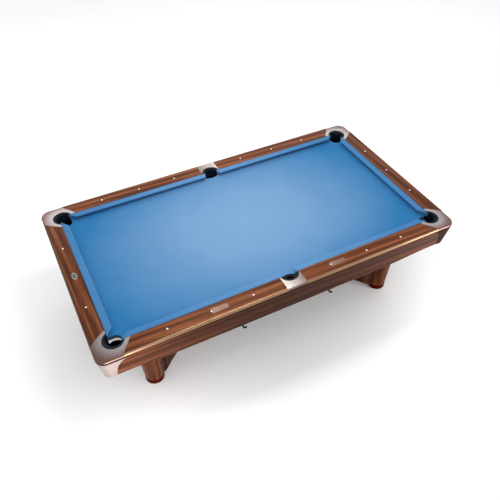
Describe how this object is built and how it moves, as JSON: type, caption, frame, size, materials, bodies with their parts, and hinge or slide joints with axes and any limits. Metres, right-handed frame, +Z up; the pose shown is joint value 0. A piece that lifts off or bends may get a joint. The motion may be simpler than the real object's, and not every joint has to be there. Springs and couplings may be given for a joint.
{
  "type": "pocket billiard table",
  "caption": "Pocket billiard table with rounded walnut rails, metal pocket castings, a blue cloth bed, a sloping apron and sweeping legs on levelling feet.",
  "frame": {"origin": "centre of the bounding box's bottom, on the floor under the table's middle", "axes": "+X along the table's length, +Y across it with the hooks' side at -Y, +Z up"},
  "size_m": [2.894, 1.614, 0.8203],
  "materials": {
    "walnut": "satin",
    "strip": "satin",
    "casting": "satin",
    "liner": "matte",
    "bucket": "matte",
    "cloth": "matte",
    "slate": "matte",
    "timber": "matte",
    "foot": "gloss",
    "hook": "satin",
    "badge": "satin"
  },
  "bodies": {
    "table": {"slate_left": "slate", "slate_middle": "slate", "slate_right": "slate", "bed_cloth": "cloth", "side_casting_front": "casting", "side_liner_front": "liner", "side_bucket_front": "bucket", "apron_front": "walnut", "rail_front_left": "walnut", "edge_strip_front_left": "strip", "cushion_front_left": "cloth", "corner_casting_front_left": "casting", "corner_liner_front_left": "liner", "corner_bucket_front_left": "bucket", "apron_corner_front_left": "casting", "leg_front_left": "walnut", "rail_front_right": "walnut", "edge_strip_front_right": "strip", "cushion_front_right": "cloth", "corner_casting_front_right": "casting", "corner_liner_front_right": "liner", "corner_bucket_front_right": "bucket", "apron_corner_front_right": "casting", "leg_front_right": "walnut", "side_casting_back": "casting", "side_liner_back": "liner", "side_bucket_back": "bucket", "apron_back": "walnut", "rail_back_left": "walnut", "edge_strip_back_left": "strip", "cushion_back_left": "cloth", "corner_casting_back_left": "casting", "corner_liner_back_left": "liner", "corner_bucket_back_left": "bucket", "apron_corner_back_left": "casting", "leg_back_left": "walnut", "rail_back_right": "walnut", "edge_strip_back_right": "strip", "cushion_back_right": "cloth", "corner_casting_back_right": "casting", "corner_liner_back_right": "liner", "corner_bucket_back_right": "bucket", "apron_corner_back_right": "casting", "leg_back_right": "walnut", "rail_end_left": "walnut", "edge_strip_end_left": "strip", "cushion_end_left": "cloth", "apron_end_left": "walnut", "rail_end_right": "walnut", "edge_strip_end_right": "strip", "cushion_end_right": "cloth", "apron_end_right": "walnut", "frame": "timber", "end_badge": "badge", "hook_front_left": "hook", "hook_front_right": "hook"},
    "foot_front_left": {"levelling_foot_front_left": "foot"},
    "foot_front_right": {"levelling_foot_front_right": "foot"},
    "foot_back_left": {"levelling_foot_back_left": "foot"},
    "foot_back_right": {"levelling_foot_back_right": "foot"}
  },
  "joints": [
    {"name": "foot_front_left_screw", "type": "slide", "parent": "table", "child": "foot_front_left", "axis": [0, 0, -1], "range_m": [0, 0.025]},
    {"name": "foot_front_right_screw", "type": "slide", "parent": "table", "child": "foot_front_right", "axis": [0, 0, -1], "range_m": [0, 0.025]},
    {"name": "foot_back_left_screw", "type": "slide", "parent": "table", "child": "foot_back_left", "axis": [0, 0, -1], "range_m": [0, 0.025]},
    {"name": "foot_back_right_screw", "type": "slide", "parent": "table", "child": "foot_back_right", "axis": [0, 0, -1], "range_m": [0, 0.025]}
  ]
}
